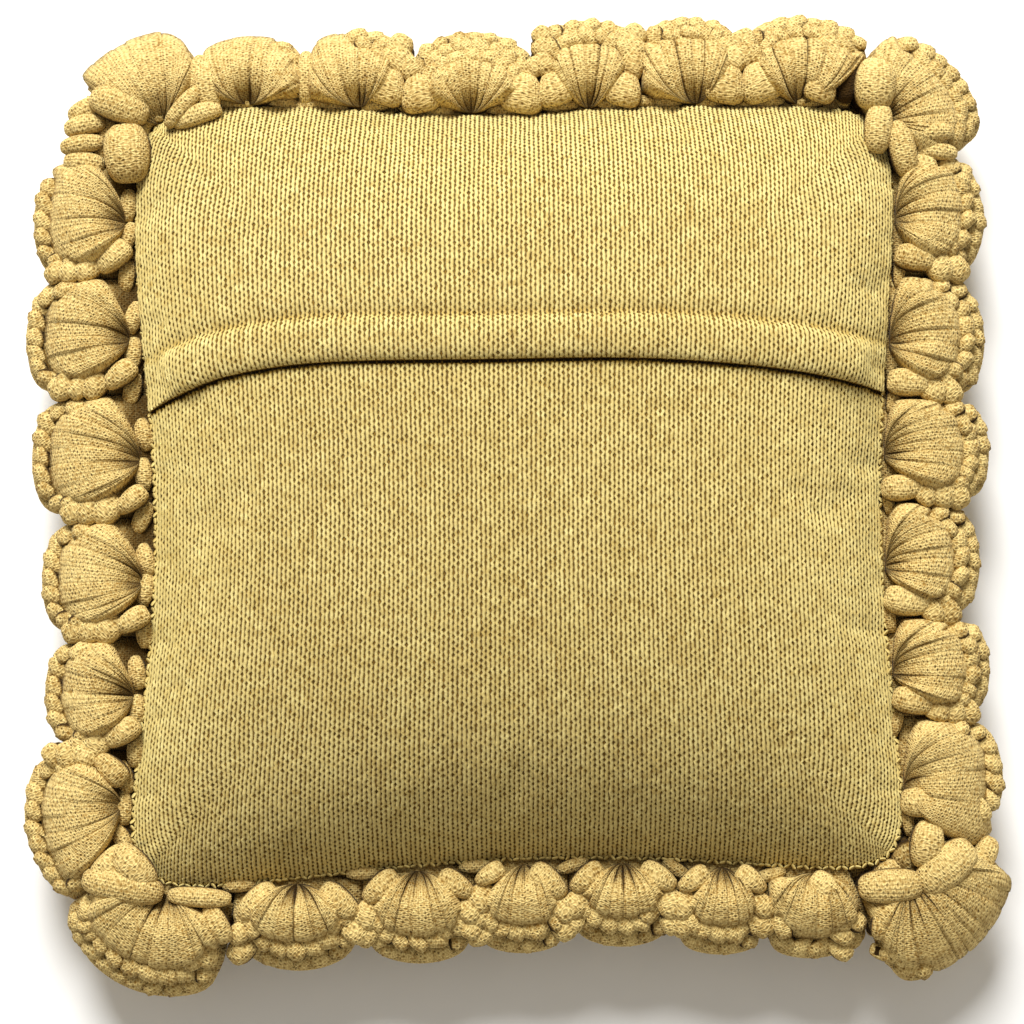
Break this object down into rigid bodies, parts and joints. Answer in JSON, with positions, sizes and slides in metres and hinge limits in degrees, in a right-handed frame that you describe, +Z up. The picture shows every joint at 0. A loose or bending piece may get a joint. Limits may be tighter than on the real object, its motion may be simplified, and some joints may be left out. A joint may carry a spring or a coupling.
{
  "type": "knitted cushion with scalloped border",
  "caption": "Filled square cushion with a stockinette envelope back, an overlapping hemmed flap and a scalloped border of crocheted shells in thick knitted tape.",
  "frame": {"origin": "middle of the flat patch of the front panel that the cushion rests on", "axes": "+Z up through the cushion's thickness to the envelope back, +X to the right of the back seen from above, +Y towards the seam that holds the flap"},
  "size_m": [0.5424, 0.5502, 0.121],
  "materials": {
    "stockinette": "matt mustard stockinette knit",
    "knitted_tape": "matt mustard knitted tube yarn"
  },
  "bodies": {
    "root": {"filled_cover": "stockinette", "back_flap": "stockinette", "shell_corner_top_left": "knitted_tape", "shell_top_1": "knitted_tape", "shell_top_2": "knitted_tape", "shell_top_3": "knitted_tape", "shell_top_4": "knitted_tape", "shell_top_5": "knitted_tape", "shell_top_6": "knitted_tape", "shell_corner_top_right": "knitted_tape", "shell_right_1": "knitted_tape", "shell_right_2": "knitted_tape", "shell_right_3": "knitted_tape", "shell_right_4": "knitted_tape", "shell_right_5": "knitted_tape", "shell_right_6": "knitted_tape", "shell_corner_bottom_right": "knitted_tape", "shell_bottom_1": "knitted_tape", "shell_bottom_2": "knitted_tape", "shell_bottom_3": "knitted_tape", "shell_bottom_4": "knitted_tape", "shell_bottom_5": "knitted_tape", "shell_bottom_6": "knitted_tape", "shell_corner_bottom_left": "knitted_tape", "shell_left_1": "knitted_tape", "shell_left_2": "knitted_tape", "shell_left_3": "knitted_tape", "shell_left_4": "knitted_tape", "shell_left_5": "knitted_tape", "shell_left_6": "knitted_tape", "shell_left_7": "knitted_tape"}
  },
  "joints": []
}
